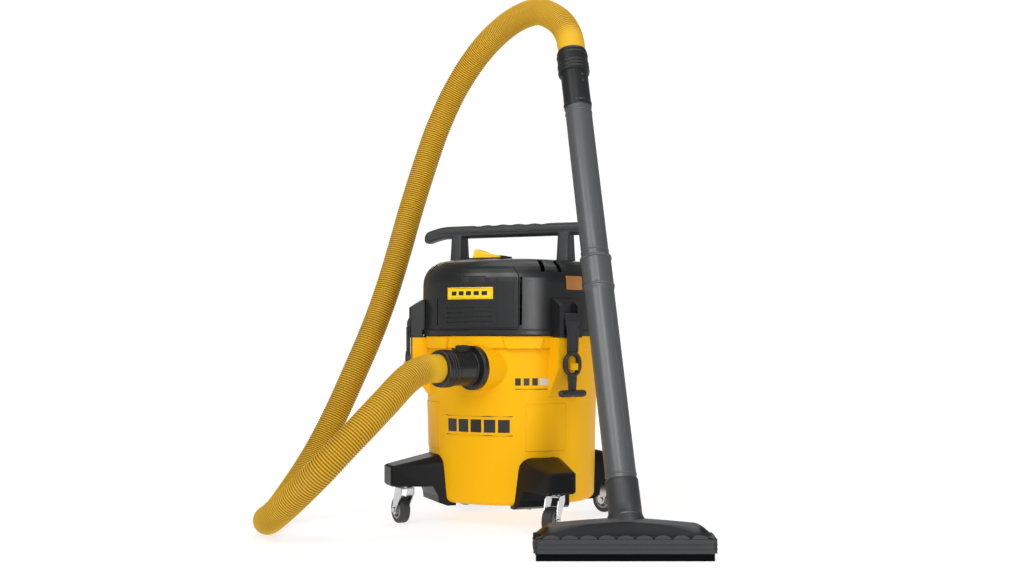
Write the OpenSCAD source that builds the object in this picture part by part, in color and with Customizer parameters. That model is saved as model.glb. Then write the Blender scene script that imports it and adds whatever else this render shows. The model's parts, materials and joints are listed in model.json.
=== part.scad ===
// Wet and dry canister vacuum on four casters, with its hose, two wands and a floor nozzle.
// Millimetres. +Z is up, the ground is z = 0, and the tank's axis is the Z axis.
// The front, with the hose inlet and the switch, faces -Y.

/* [Tank] */
// Outer radius of the tank just under its rim
tank_r = 175; // [172:1:178]
// Outer radius of the tank at its floor
tank_foot_r = 168; // [165:1:170]
// Height of the tank's floor
tank_z = 46; // [44:1:48]
// Height of the tank's open rim
rim_z = 374; // [372:1:376]
// Wall thickness of the moulded tank
tank_wall = 3.5; // [3:0.5:4]

/* [Power head] */
// Outer radius of the dome at its foot
dome_r = 183; // [181:1:184]
// Height of the dome's flat top
dome_top_z = 525; // [523:1:527]
// Radius of the dome's shoulder
shoulder_r = 47; // [44:1:49]
// Wall thickness of the dome
dome_wall = 3; // [2.5:0.5:3.5]

/* [Handle] */
// Height of the top of the carrying bar
bar_top_z = 604; // [598:1:608]
// Half of the length of the carrying bar
bar_half = 198; // [190:1:205]
// Distance of each post from the middle
post_x = 119; // [115:1:122]

/* [Latches] */
// Angle of each latch from the front
latch_angle = 57; // [54:1:60]

/* [Hose port] */
// Turn of the port from the front, to the left
port_turn = -22; // [-24:1:-20]
// Height of the port's axis
port_z = 313; // [311:1:315]
// Outer diameter of the hose over its ribs
hose_d = 54; // [50:1:54]

/* [Casters] */
// Distance of each caster's stem from the tank's axis
stem_r = 228; // [226:1:230]
// Radius of a wheel
wheel_r = 27; // [25:0.5:27.5]
// Distance of a wheel's axle behind its stem
trail = 20; // [18:1:20]

/* [Wands and nozzle] */
// Lean of the wands from upright
wand_tilt = 21.85; // [21.5:0.05:22]
// Direction in which the wands lean
wand_turn = 126.8; // [126:0.1:128]
// Overall width of the floor nozzle
nozzle_w = 306; // [290:1:310]
// Depth of the floor nozzle from front to back
nozzle_d = 84; // [80:1:88]

/* [Hidden] */

// Gap between faces of two fixed pieces that must not overlap
gap = 0.2;
// Radial clearance of a turning pin or shaft
run = 0.06;
// Overlap of a cutting shape beyond the face that it cuts
cut = 1;

yellow = "#F5B400";
black = "#202124";
graphite = "#55585B";
steel = "#B9BCC0";
rubber = "#151515";

// ---- Tank ----
rim_r = 181;
rim_band = 23;
tank_corner = 12;
boss_r = 206;
boss_half = 28;
boss_low_z = 312;
boss_toe_z = 258;
lip_angle = 31;
lip_r = 185;
pad_angle = 47;
pad_rise = 1.2;

// ---- Port ----
port_x = 5;
port_y = -188;
port_boss_r = 44;
port_bore_r = 31.5;
flange_r = 42.5;
flange_t = 12;
cuff_bore_r = 24;
cuff_end = 92;

// ---- Feet and casters ----
foot_names = ["front_left", "front_right", "rear_left", "rear_right"];
foot_angles = [-45, 45, -135, 135];
// Direction in which each caster trails, from +X
trail_turns = [144, 270, 205, 162];
foot_under_z = 78;
foot_tip_r = 264;
foot_screw_r = 150;
foot_screw_angle = 8;
stem_pin_r = 5.5;
tyre_half = 10;
hub_half = 10.6;
hub_r = 18;
axle_r = 3;

// ---- Power head ----
deck_r = 186;
deck_z = rim_z + 2.5;
deck_t = 10;
dome_z = deck_z + deck_t;
shoulder_z = dome_top_z - shoulder_r;
shoulder_x = dome_r - 1.5 - shoulder_r;
crown = 2;
panel_half = 86;
panel_low_z = 391;
panel_high_z = 509;
panel_rise = 3.4;
switch_y = -108;
switch_z = 521;
switch_tilt = 14;
well_x = 71;
well_y = 38;
post_x_half = 15;
post_y_half = 25;
post_z = 500;
port_angle = 150;
blower_z = 440;
blower_bore_r = 24.1;
gland_z = 408;
slot_angles = [44, 56, 120, 132, -120, -132, -44, -56];
inset_angle = 66;

// ---- Latches ----
pin_r = 2.5;
pin_at_r = 203;
pin_at_z = 412;
strap_in_r = 209.5;
strap_t = 5;
ring_z = 320;

// ---- Wands: the wand's own axis starts at this point, in the nozzle's neck ----
wand_foot = [356.4, -328.4, 86];
wand_joint = 466;
upper_low = 410;
upper_high = 782;
cuff_low = 740;
cuff_collar = 859;
wand_top = 909;
lower_r = 27;
upper_r = 25.5;
wand_wall = 2.4;

// ---- Nozzle ----
nozzle_at = [363, -351, 0];
nozzle_turn = 24;
strip_h = 13;
base_top_z = 37;
mouth_x = 284;
mouth_y = 44;

// ---- Hose: its route from the inlet cuff to the wand's cuff ----
route = [
    [-26, -264, 313], [-42, -303, 312], [-52, -350, 296], [-66, -415, 252], [-96, -468, 198], [-144, -500, 138],
    [-207, -496, 84], [-272, -458, 46], [-327, -393, 29], [-363, -310, 32], [-380, -227, 67], [-376, -156, 128],
    [-356, -108, 208], [-333, -74, 290], [-312, -38, 374], [-294, -4, 462], [-280, 28, 554], [-266, 56, 646],
    [-248, 82, 738], [-222, 102, 832], [-180, 112, 920], [-116, 102, 992], [-36, 70, 1034], [44, 25, 1040],
    [107, -18, 1009], [142, -43, 968], [156, -60, 922]
];
hose_sides = 12;

// ---- Frames ----
// Local +X points away from the tank's axis, at an angle from the front that is positive to the right
module toward(angle) {
    rotate([0, 0, angle - 90]) children();
}

// Local +Z points out of the hose port, and local +Y points up
module port() {
    translate([port_x, port_y, port_z]) rotate([0, 0, port_turn]) rotate([90, 0, 0]) children();
}

// Local +Z runs up the wands
module wand_axis() {
    translate(wand_foot) rotate([0, wand_tilt, wand_turn]) children();
}

// Local +X runs along the nozzle, and local +Y points to its back
module nozzle_frame() {
    translate(nozzle_at) rotate([0, 0, nozzle_turn]) children();
}

// Local +X points from a caster's stem to its wheel
module caster_frame(i) {
    angle = foot_angles[i];
    translate([stem_r * sin(angle), -stem_r * cos(angle), 0]) rotate([0, 0, trail_turns[i]]) children();
}

// ---- Helpers ----
function arc(x, y, r, from, to, steps) =
    [for (i = [0 : steps]) let (a = from + (to - from) * i / steps) [x + r * cos(a), y + r * sin(a)]];

function reversed(points) = [for (i = [len(points) - 1 : -1 : 0]) points[i]];

module tube(outer, inner, from, to) {
    difference() {
        translate([0, 0, from]) cylinder(r = outer, h = to - from);
        translate([0, 0, from - cut]) cylinder(r = inner, h = to - from + 2 * cut);
    }
}

// A slab whose outline lies across local X: outline x runs sideways and outline y runs up
module across(from, to) {
    translate([from, 0, 0]) rotate([90, 0, 90]) linear_extrude(to - from) children();
}

// A slab whose outline lies in the local X-Z plane, centred on y = 0
module upright(thick) {
    translate([0, thick / 2, 0]) rotate([90, 0, 0]) linear_extrude(thick) children();
}

module stadium(wide, high) {
    r = min(wide, high) / 2;
    dx = wide / 2 - r;
    dy = high / 2 - r;
    for (s = [-1, 1]) translate([s * dx, s * dy]) circle(r);
    square([max(2 * dx, wide - (dy > 0 ? 0 : 2 * r)), max(2 * dy, high - (dx > 0 ? 0 : 2 * r))], center = true);
}

// ---- Tank ----
// Outer outline of the tank from its floor to under the rim, grown by g
function tank_side(g) = concat(
    [[0, tank_z - g]],
    arc(tank_foot_r - tank_corner, tank_z + tank_corner, tank_corner + g, -90, 0, 5),
    [[tank_r + g, rim_z - rim_band - 2]]
);

module tank_body() {
    outline = concat(tank_side(0), [[rim_r, rim_z - rim_band], [rim_r, rim_z], [0, rim_z]]);
    rotate_extrude($fn = 120) polygon(outline);
}

module tank_cavity() {
    corner = tank_corner - tank_wall;
    outline = concat(
        [[0, tank_z + tank_wall]],
        arc(tank_foot_r - tank_corner, tank_z + tank_corner, corner, -90, 0, 5),
        [[tank_r - tank_wall, rim_z - rim_band], [tank_r - tank_wall, rim_z + cut], [0, rim_z + cut]]
    );
    rotate_extrude($fn = 120) polygon(outline);
}

// Boss under each latch, with the hook that its strap's ring goes over
module latch_boss() {
    upright(2 * boss_half) polygon([
        [155, rim_z - 3], [boss_r, rim_z - 3], [boss_r, boss_low_z], [174, boss_toe_z], [155, boss_toe_z]
    ]);
    translate([boss_r - cut, -7, ring_z - 11]) cube([17, 14, 13]);
}

module rim_lip() {
    intersection() {
        across(150, lip_r + cut) polygon([[-40, rim_z - 2], [40, rim_z - 2], [34, rim_z - 24], [-34, rim_z - 24]]);
        cylinder(r = lip_r, h = rim_z, $fn = 120);
    }
}

module side_pad() {
    intersection() {
        across(150, 180) translate([-42, 152]) square([84, 91]);
        rotate_extrude($fn = 120) polygon(concat(tank_side(pad_rise), [[0, rim_z - rim_band - 2]]));
    }
}

module tank() {
    color(yellow) difference() {
        union() {
            tank_body();
            for (side = [-1, 1]) {
                toward(side * latch_angle) latch_boss();
                toward(side * lip_angle) rim_lip();
                toward(side * pad_angle) side_pad();
            }
            port() translate([0, 0, -55]) cylinder(r = port_boss_r, h = 55, $fn = 64);
        }
        tank_cavity();
        port() translate([0, 0, -60]) cylinder(r = port_bore_r, h = 60 + cut, $fn = 64);
    }
}

module tank_gasket() {
    color(rubber) tube(rim_r - 1, tank_r - 2, rim_z, deck_z, $fn = 96);
}

module inlet_flange() {
    color(black) port() difference() {
        union() {
            cylinder(r = flange_r, h = flange_t - 3, $fn = 64);
            translate([0, 0, flange_t - 3]) cylinder(r1 = flange_r, r2 = flange_r - 3, h = 3, $fn = 64);
        }
        translate([0, 0, -cut]) cylinder(r = 31, h = flange_t + 2 * cut, $fn = 64);
    }
}

// ---- Feet ----
module foot_block() {
    corner = 27;
    arch = concat([[57, 40]], arc(23, 115, corner, 0, 90, 4), arc(-23, 115, corner, 90, 180, 4), [[-57, 40]]);
    difference() {
        hull() {
            across(140, 158) polygon(arch);
            for (side = [-1, 1]) {
                translate([foot_tip_r - 7, side * 22, foot_under_z + 4]) cylinder(r = 7, h = 34, $fn = 32);
                translate([foot_tip_r - 10, side * 19, foot_under_z]) cylinder(r = 7, h = 41, $fn = 32);
            }
        }
        upright(160) polygon([[172, 30], [175, 58], [184, foot_under_z], [320, foot_under_z], [320, 30]]);
        translate([stem_r, 0, foot_under_z - cut]) cylinder(r = stem_pin_r + run, h = 31, $fn = 32);
    }
}

module foot(i) {
    color(black) difference() {
        toward(foot_angles[i]) foot_block();
        rotate_extrude($fn = 120) polygon(concat(tank_side(gap), [[0, rim_z - rim_band]]));
        for (side = [-1, 1]) toward(foot_angles[i] + side * foot_screw_angle)
            translate([foot_screw_r, 0, 30]) cylinder(r = 2.1, h = 20, $fn = 24);
    }
}

module foot_screws() {
    color(steel) for (angle = foot_angles, side = [-1, 1]) toward(angle + side * foot_screw_angle)
        translate([foot_screw_r, 0, 0]) {
            translate([0, 0, 37.5]) cylinder(r = 4.5, h = 2.5, $fn = 24);
            translate([0, 0, 40]) cylinder(r = 2, h = tank_z - 40, $fn = 24);
        }
}

// ---- Casters ----
module fork(i) {
    inner = 12.4;
    sheet = 2.2;
    top_z = 73;
    color(steel) caster_frame(i) {
        for (side = [-1, 1]) translate([0, side * (inner + sheet / 2), 0]) upright(sheet) difference() {
            union() {
                polygon([[-13, top_z], [14, top_z], [trail + 9, wheel_r + 4], [trail + 9, wheel_r],
                    [trail - 9, wheel_r], [trail - 11, wheel_r + 6], [-13, top_z - 12]]);
                translate([trail, wheel_r]) circle(r = 9, $fn = 32);
            }
            translate([trail, wheel_r]) circle(r = axle_r + 0.02, $fn = 32);
        }
        translate([-13, -inner, top_z - 2.5]) cube([27, 2 * inner, 2.5]);
        translate([0, 0, top_z]) cylinder(r = 10, h = 4.4, $fn = 32);
        translate([0, 0, top_z]) cylinder(r = stem_pin_r, h = 33, $fn = 32);
    }
}

module axle(i) {
    color(steel) caster_frame(i) translate([trail, 0, wheel_r]) rotate([90, 0, 0]) {
        translate([0, 0, -15.5]) cylinder(r = axle_r, h = 31, $fn = 32);
        translate([0, 0, 14.8]) cylinder(r = 5.2, h = 3, $fn = 6);
        translate([0, 0, -17.8]) cylinder(r = 5.2, h = 3, $fn = 32);
    }
}

module hub(i) {
    color(graphite) caster_frame(i) translate([trail, 0, wheel_r]) rotate([90, 0, 0]) rotate_extrude($fn = 64)
        polygon([[axle_r + run, -hub_half], [8, -hub_half], [9, -hub_half + 3], [14, -hub_half + 3],
            [15, -hub_half + 0.6], [hub_r, -hub_half + 0.6], [hub_r, hub_half - 0.6], [15, hub_half - 0.6],
            [14, hub_half - 3], [9, hub_half - 3], [8, hub_half], [axle_r + run, hub_half]]);
}

module tyre(i) {
    edge = 4;
    outline = concat(
        [[hub_r, -tyre_half], [wheel_r - edge, -tyre_half]],
        arc(wheel_r - edge, -tyre_half + edge, edge, -90, 0, 4),
        arc(wheel_r - edge, tyre_half - edge, edge, 0, 90, 4),
        [[hub_r, tyre_half]]
    );
    color(rubber) caster_frame(i) translate([trail, 0, wheel_r]) rotate([90, 0, 0])
        rotate_extrude($fn = 64) polygon(outline);
}

// ---- Power head ----
// Outer outline of the dome from its foot to the middle of its top, grown by g
function dome_side(g) = concat(
    [[dome_r + g, dome_z]],
    arc(shoulder_x, shoulder_z, shoulder_r + g, 0, 90, 9),
    [[0, dome_top_z + crown + g]]
);

// The layer between two growths of the dome's surface
module dome_layer(from, to) {
    rotate_extrude($fn = 120) polygon(concat(dome_side(to), reversed(dome_side(from))));
}

// The part of that layer on the front of the dome inside an outline of X and Z
module front_shape(from, to) {
    intersection() {
        dome_layer(from, to);
        translate([0, -20, 0]) rotate([90, 0, 0]) linear_extrude(dome_r) children();
    }
}

// The same between two sideways places and two heights
module front_layer(from, to, x0, x1, z0, z1) {
    front_shape(from, to) translate([x0, z0]) square([x1 - x0, z1 - z0]);
}

module lid_deck() {
    spigot_r = tank_r - tank_wall - 1;
    color(black) rotate_extrude($fn = 120) polygon([
        [45, deck_z + deck_t], [45, deck_z + 3.5], [spigot_r - 4, deck_z + 3.5], [spigot_r - 4, deck_z - 14],
        [spigot_r, deck_z - 14], [spigot_r, deck_z], [deck_r, deck_z], [deck_r, deck_z + deck_t - 2],
        [deck_r - 2, deck_z + deck_t]
    ]);
}

module vent_slots() {
    for (angle = slot_angles) toward(angle) translate([shoulder_x, 0, shoulder_z]) rotate([0, -46, 0])
        translate([shoulder_r - 8, -4.5, -17]) cube([16, 9, 34]);
}

module dome() {
    color(black) difference() {
        dome_layer(-dome_wall, 0);
        vent_slots();
        for (side = [-1, 1]) {
            translate([side * post_x - post_x_half - gap, -post_y_half - gap, post_z])
                cube([2 * (post_x_half + gap), 2 * (post_y_half + gap), 40]);
            translate([side * (panel_half + 3) - 2, -dome_r, panel_low_z + 4]) cube([4, 60, side < 0 ? 52 : 92]);
        }
        translate([-well_x / 2, switch_y - well_y / 2, post_z]) cube([well_x, well_y, 40]);
        toward(port_angle) translate([150, 0, blower_z]) rotate([0, 90, 0]) cylinder(r = 31.2, h = 60, $fn = 48);
        toward(180) translate([150, 0, gland_z]) rotate([0, 90, 0]) cylinder(r = 8.2, h = 60, $fn = 32);
    }
}

module front_panel() {
    color(black) difference() {
        union() {
            front_shape(0.05, panel_rise) polygon([
                [-panel_half, panel_low_z], [panel_half, panel_low_z], [panel_half, 490], [72, panel_high_z],
                [-68, panel_high_z], [-panel_half, 444]
            ]);
            front_layer(0.05, panel_rise + 1.6, 50, 79, panel_low_z, 488);
        }
        for (i = [0 : 3]) front_layer(panel_rise - 2, 8, -61, 41, 399.8 + 9.3 * i, 402.2 + 9.3 * i);
        front_layer(panel_rise - 1.6, 8, -24, 27, 476, 489);
    }
}

module blank_badge() {
    color(yellow) front_layer(panel_rise + 0.05, panel_rise + 1.4, -58, 41, 445, 468);
}

module side_inset() {
    color("#B07A45") toward(inset_angle) intersection() {
        rotate([0, 0, 90 - inset_angle]) dome_layer(0.05, 2);
        across(150, 200) translate([-21, 464]) square([42, 27]);
    }
}

function wave(x) = 1.8 * (1 - cos(360 * (x + 88) / 35.2)) / 2;

module handle() {
    bar_under_z = bar_top_z - 28;
    droop = 14;
    tip = 12;
    top_line = [for (x = [-88 : 8.8 : 88]) [x, bar_top_z - 1.8 + wave(x)]];
    outline = concat(
        arc(-bar_half + tip, bar_top_z - droop - tip - 1, tip, 250, 130, 6),
        [[-bar_half + 30, bar_top_z - 5], [-bar_half + 48, bar_top_z - 2]],
        top_line,
        [[bar_half - 48, bar_top_z - 2], [bar_half - 30, bar_top_z - 5]],
        arc(bar_half - tip, bar_top_z - droop - tip - 1, tip, 50, -70, 6),
        [[bar_half - 34, bar_under_z + 1], [bar_half - 56, bar_under_z + 3],
            [-bar_half + 56, bar_under_z + 3], [-bar_half + 34, bar_under_z + 1]]
    );
    color(black) {
        upright(34) polygon(outline);
        for (side = [-1, 1]) translate([side * post_x, 0, 0]) {
            upright(44) polygon([[-12, bar_under_z + 4], [12, bar_under_z + 4], [15, dome_top_z + 8],
                [15, post_z], [-15, post_z], [-15, dome_top_z + 8]]);
            translate([-post_x_half, -post_y_half, post_z]) cube([2 * post_x_half, 2 * post_y_half, 28]);
        }
    }
}

module handle_screws() {
    color(steel) for (side = [-1, 1], y = [-14, 14]) translate([side * post_x, y, post_z - 4])
        cylinder(r = 5, h = 4, $fn = 32);
}

module switch_bezel() {
    flange_z = dome_top_z + 0.8;
    color(black) difference() {
        union() {
            translate([-well_x / 2 + 0.2, switch_y - well_y / 2 + 0.2, 505])
                cube([well_x - 0.4, well_y - 0.4, 22]);
            translate([-38, switch_y - 23, flange_z]) cube([76, 46, 2]);
            translate([33.4, switch_y - 23, flange_z]) cube([4.6, 46, 5]);
        }
        translate([-33, switch_y - 17.9, 500]) cube([66, 35.8, 40]);
    }
    color(black) translate([0, switch_y, 510]) for (side = [-1, 1])
        translate([0, side * 17.95, 11]) rotate([90, 0, 0]) cylinder(r = 2, h = 1.2, center = true, $fn = 24);
}

module switch_paddle() {
    color("#FFD21A") translate([0, switch_y, switch_z]) rotate([0, switch_tilt, 0]) difference() {
        upright(34.6) polygon(concat(
            [[-30.5, -6], [-29.5, 16.5], [-26, 18.5]],
            [[-9, 15.6], [0, 15], [9, 15.6]],
            [[26, 18.5], [29.5, 16.5], [30.5, -6]],
            arc(0, 6, 13, -50, -130, 4)
        ));
        rotate([90, 0, 0]) cylinder(r = 2.1, h = 60, center = true, $fn = 24);
    }
}

module blower_port() {
    color(black) toward(port_angle) translate([0, 0, blower_z]) difference() {
        union() {
            translate([168, 0, 0]) rotate([0, 90, 0]) cylinder(r = 30.8, h = 30, $fn = 48);
            difference() {
                translate([150, 0, 0]) rotate([0, 90, 0]) cylinder(r = 37, h = 40, $fn = 48);
                cylinder(r = dome_r + 0.3, h = 200, center = true, $fn = 120);
            }
        }
        translate([140, 0, 0]) rotate([0, 90, 0]) cylinder(r = blower_bore_r, h = 70, $fn = 48);
    }
}

module cord_gland() {
    color(black) toward(180) translate([0, 0, gland_z]) rotate([0, 90, 0]) difference() {
        union() {
            translate([0, 0, 172]) cylinder(r = 8, h = 14, $fn = 32);
            translate([0, 0, dome_r + 0.5]) cylinder(r1 = 13, r2 = 10, h = 9, $fn = 32);
        }
        translate([0, 0, 170]) cylinder(r = 4.2, h = 30, $fn = 32);
    }
}

// ---- Latches ----
module latch_bracket(side) {
    color(black) toward(side * latch_angle) difference() {
        upright(54) polygon([[170, dome_z + gap], [deck_r + gap, dome_z + gap], [deck_r + gap, 378],
            [209, 378], [209, 432], [186, 447], [170, 447]]);
        cylinder(r = dome_r + gap, h = 500, $fn = 120);
        translate([195.5, -15.6, 370]) cube([20, 31.2, 90]);
        translate([pin_at_r, 0, pin_at_z]) rotate([90, 0, 0]) cylinder(r = pin_r, h = 70, center = true, $fn = 24);
    }
}

module latch_pin(side) {
    color(steel) toward(side * latch_angle) translate([pin_at_r, 0, pin_at_z]) rotate([90, 0, 0])
        cylinder(r = pin_r, h = 54, center = true, $fn = 24);
}

module strap_outline() {
    difference() {
        union() {
            polygon([[-15, 402], [15, 402], [11.5, 380], [10.5, ring_z + 20], [-10.5, ring_z + 20], [-11.5, 380]]);
            translate([0, ring_z]) stadium(41, 46);
            polygon([[-10, ring_z - 18], [10, ring_z - 18], [7, 262], [-7, 262]]);
        }
        translate([0, ring_z]) stadium(22, 34);
    }
}

module latch_strap(side) {
    bar_z = 264;
    color(rubber) toward(side * latch_angle) difference() {
        union() {
            across(strap_in_r, strap_in_r + strap_t) strap_outline($fn = 48);
            hull() {
                translate([pin_at_r, 0, pin_at_z]) rotate([90, 0, 0]) cylinder(r = 6.5, h = 30, center = true, $fn = 32);
                translate([strap_in_r, -15, 394]) cube([strap_t, 30, 8]);
            }
            translate([strap_in_r + strap_t / 2 + 1, 0, bar_z]) {
                rotate([90, 0, 0]) cylinder(r = 6.5, h = 51, center = true, $fn = 32);
                for (end = [-1, 1]) translate([0, end * 25.5, 0]) sphere(r = 6.5, $fn = 32);
            }
        }
        translate([pin_at_r, 0, pin_at_z]) rotate([90, 0, 0])
            cylinder(r = pin_r + run, h = 70, center = true, $fn = 24);
    }
}

// ---- Inside the head and the tank ----
module motor() {
    color(graphite) difference() {
        union() {
            translate([0, 0, 428]) cylinder(r = 52, h = 60, $fn = 64);
            translate([0, 0, 488]) cylinder(r1 = 52, r2 = 30, h = 12, $fn = 64);
        }
        translate([0, 0, 427]) cylinder(r = 5 + run, h = 21, $fn = 32);
    }
}

module impeller() {
    color(steel) {
        translate([0, 0, 390]) cylinder(r = 5, h = 56, $fn = 32);
        translate([0, 0, 393]) cylinder(r = 14, h = 24, $fn = 48);
        for (z = [394, 415]) tube(70, z < 400 ? 28 : 13, z, z + 2);
        for (i = [0 : 7]) rotate([0, 0, 45 * i]) translate([13, 0, 395]) rotate([0, 0, 20]) cube([52, 2, 21]);
    }
}

module turbine_housing() {
    color(black) rotate_extrude($fn = 96) polygon([
        [34, dome_z + gap], [78, dome_z + gap], [78, 424], [10, 424], [10, 421], [75, 421], [75, 390], [34, 390]
    ]);
}

module float_cage() {
    color(black) difference() {
        union() {
            tube(51, 47, 232, 379, $fn = 64);
            tube(62, 47, 375, 379.8, $fn = 64);
            translate([0, 0, 232]) cylinder(r = 51, h = 4, $fn = 64);
        }
        for (i = [0 : 2]) rotate([0, 0, 60 * i]) translate([-70, -12, 244]) cube([140, 24, 118]);
    }
}

module float_cup() {
    color("#D9D9D2") difference() {
        translate([0, 0, 238]) cylinder(r = 42, h = 52, $fn = 64);
        translate([0, 0, 235]) cylinder(r = 39, h = 50, $fn = 64);
    }
}

module filter() {
    color("#E9E6DA") tube(82, 64, 222, 379.8, $fn = 96);
}

module filter_cap() {
    color(black) {
        translate([0, 0, 216]) cylinder(r = 84, h = 6, $fn = 96);
        translate([0, 0, 222]) cylinder(r = 12, h = 10, $fn = 48);
        translate([0, 0, 202]) cylinder(r = 16, h = 14, $fn = 48);
    }
}

// ---- Hose and its cuffs ----
function cubic(a, b, c, d, t) =
    0.5 * (2 * b + (c - a) * t + (2 * a - 5 * b + 4 * c - d) * t * t + (3 * b - a - 3 * c + d) * t * t * t);

function on_route(i, t) =
    let (last = len(route) - 1, a = route[max(i - 1, 0)], d = route[min(i + 2, last)])
    cubic(a, route[i], route[i + 1], d, t);

function unit(v) = v / norm(v);

// Two points of the curve for each stretch of the route
function centres() = concat(
    [for (i = [0 : len(route) - 2], t = [0, 0.5]) on_route(i, t)],
    [route[len(route) - 1]]
);

// A direction square to each stretch, carried along so that the rings don't twist
function carried(points, i, side) =
    let (along = unit(points[min(i + 1, len(points) - 1)] - points[max(i - 1, 0)]))
    unit(side - (side * along) * along);

module hose() {
    points = centres();
    count = len(points);
    sides = [for (i = 0, s = carried(points, 0, [0, 0, 1]); i < count; i = i + 1, s = carried(points, i, s)) s];
    rings = [for (i = [0 : count - 1]) let (
            along = unit(points[min(i + 1, count - 1)] - points[max(i - 1, 0)]),
            u = carried(points, i, sides[i]),
            v = cross(along, u)
        ) each [for (k = [0 : hose_sides - 1]) let (a = 360 * k / hose_sides)
            points[i] + hose_d / 2 * (cos(a) * u + sin(a) * v)]];
    walls = [for (i = [0 : count - 2], k = [0 : hose_sides - 1]) let (
            n = (k + 1) % hose_sides,
            a = i * hose_sides
        ) [a + k, a + hose_sides + k, a + hose_sides + n, a + n]];
    first = [for (k = [0 : hose_sides - 1]) k];
    last = [for (k = [hose_sides - 1 : -1 : 0]) (count - 1) * hose_sides + k];
    color("#D9A400") polyhedron(rings, concat([first], walls, [last]), convexity = 10);
}

module inlet_cuff() {
    socket_r = hose_d / 2 + 0.6;
    color(black) port() difference() {
        union() {
            translate([0, 0, -22]) cylinder(r = 30.9, h = 40, $fn = 64);
            translate([0, 0, flange_t + 0.1]) cylinder(r = 33, h = 52, $fn = 64);
            translate([0, 0, 60]) cylinder(r1 = 33, r2 = 35, h = 4, $fn = 64);
            translate([0, 0, 64]) cylinder(r = 35, h = cuff_end - 66, $fn = 64);
            translate([0, 0, cuff_end - 2]) cylinder(r1 = 35, r2 = 34, h = 2, $fn = 64);
        }
        translate([0, 0, -30]) cylinder(r = cuff_bore_r, h = 150, $fn = 64);
        translate([0, 0, cuff_end - 24]) cylinder(r = socket_r, h = 30, $fn = 64);
        translate([-10.2, 29, 18]) cube([20.4, 20, 34]);
    }
}

module cuff_button() {
    color(black) port() {
        translate([-10, 30.5, 20]) cube([20, 8, 30]);
        translate([-10, 38.4, 24]) cube([20, 5, 16]);
    }
}

module wand_cuff() {
    color(black) wand_axis() difference() {
        union() {
            translate([0, 0, cuff_low]) cylinder(r = upper_r - wand_wall - 0.1, h = 50, $fn = 64);
            translate([0, 0, upper_high + 0.1]) cylinder(r = 26.5, h = cuff_collar - upper_high, $fn = 64);
            translate([0, 0, cuff_collar]) cylinder(r = 30, h = wand_top - cuff_collar - 4, $fn = 64);
            translate([0, 0, wand_top - 4]) cylinder(r1 = 30, r2 = 28.5, h = 4, $fn = 64);
        }
        translate([0, 0, cuff_low - cut]) cylinder(r = 20.5, h = 300, $fn = 64);
        translate([0, 0, wand_top - 22]) cylinder(r = hose_d / 2 + 0.5, h = 30, $fn = 64);
    }
}

module wand_upper() {
    color(graphite) wand_axis() tube(upper_r, upper_r - wand_wall, upper_low, upper_high, $fn = 64);
}

module wand_lower() {
    color(graphite) wand_axis() difference() {
        union() {
            translate([0, 0, -20]) cylinder(r = lower_r, h = wand_joint + 20, $fn = 64);
            translate([0, 0, wand_joint - 70]) cylinder(r1 = lower_r, r2 = lower_r + 1, h = 6, $fn = 64);
            translate([0, 0, wand_joint - 64]) cylinder(r = lower_r + 1, h = 64, $fn = 64);
        }
        translate([0, 0, -25]) cylinder(r = lower_r - wand_wall, h = 600, $fn = 64);
        translate([0, 0, upper_low - 2]) cylinder(r = upper_r + 0.1, h = 200, $fn = 64);
    }
}

// ---- Floor nozzle ----
module nozzle_shell() {
    half = nozzle_w / 2;
    deep = nozzle_d / 2;
    hull() {
        for (sx = [-1, 1], sy = [-1, 1]) translate([sx * (half - 9), sy * (deep - 8), base_top_z + gap])
            cylinder(r = 7, h = 5, $fn = 24);
        for (sx = [-1, 1]) translate([sx * (half - 26), 8, 50]) sphere(r = 8, $fn = 24);
        for (sx = [-1, 1]) translate([sx * 50, 8, 57]) sphere(r = 8, $fn = 24);
    }
}

module nozzle_body() {
    color(graphite) difference() {
        union() {
            nozzle_frame() nozzle_shell();
            hull() {
                wand_axis() translate([0, 0, -33]) cylinder(r = lower_r + 0.8, h = 5, $fn = 32);
                nozzle_frame() translate([4, 4, base_top_z + 4]) cylinder(r = 37, h = 4, $fn = 32);
            }
            wand_axis() translate([0, 0, -36]) cylinder(r = lower_r + 1.8, h = 80, $fn = 64);
        }
        wand_axis() translate([0, 0, -20.1]) cylinder(r = lower_r + 0.1, h = 80, $fn = 64);
        wand_axis() translate([0, 0, -70]) cylinder(r = 20, h = 80, $fn = 64);
        nozzle_frame() translate([-120, -18, 20]) cube([240, 36, 26]);
        translate([0, 0, -100]) linear_extrude(100 + base_top_z + gap) square(2000, center = true);
    }
}

module nozzle_base() {
    color(graphite) nozzle_frame() difference() {
        linear_extrude(base_top_z) difference() {
            for (s = [0, 90]) square([nozzle_w - (s > 0 ? 12 : 0), nozzle_d - (s > 0 ? 0 : 12)], center = true);
            square([mouth_x, mouth_y], center = true);
        }
        translate([0, 0, -cut]) linear_extrude(strip_h + cut) square(1000, center = true);
    }
}

module nozzle_strips() {
    color(rubber) nozzle_frame() for (side = [-1, 1]) translate([0, side * 31, 0])
        linear_extrude(strip_h) square([nozzle_w - 8, 10], center = true);
}

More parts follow.
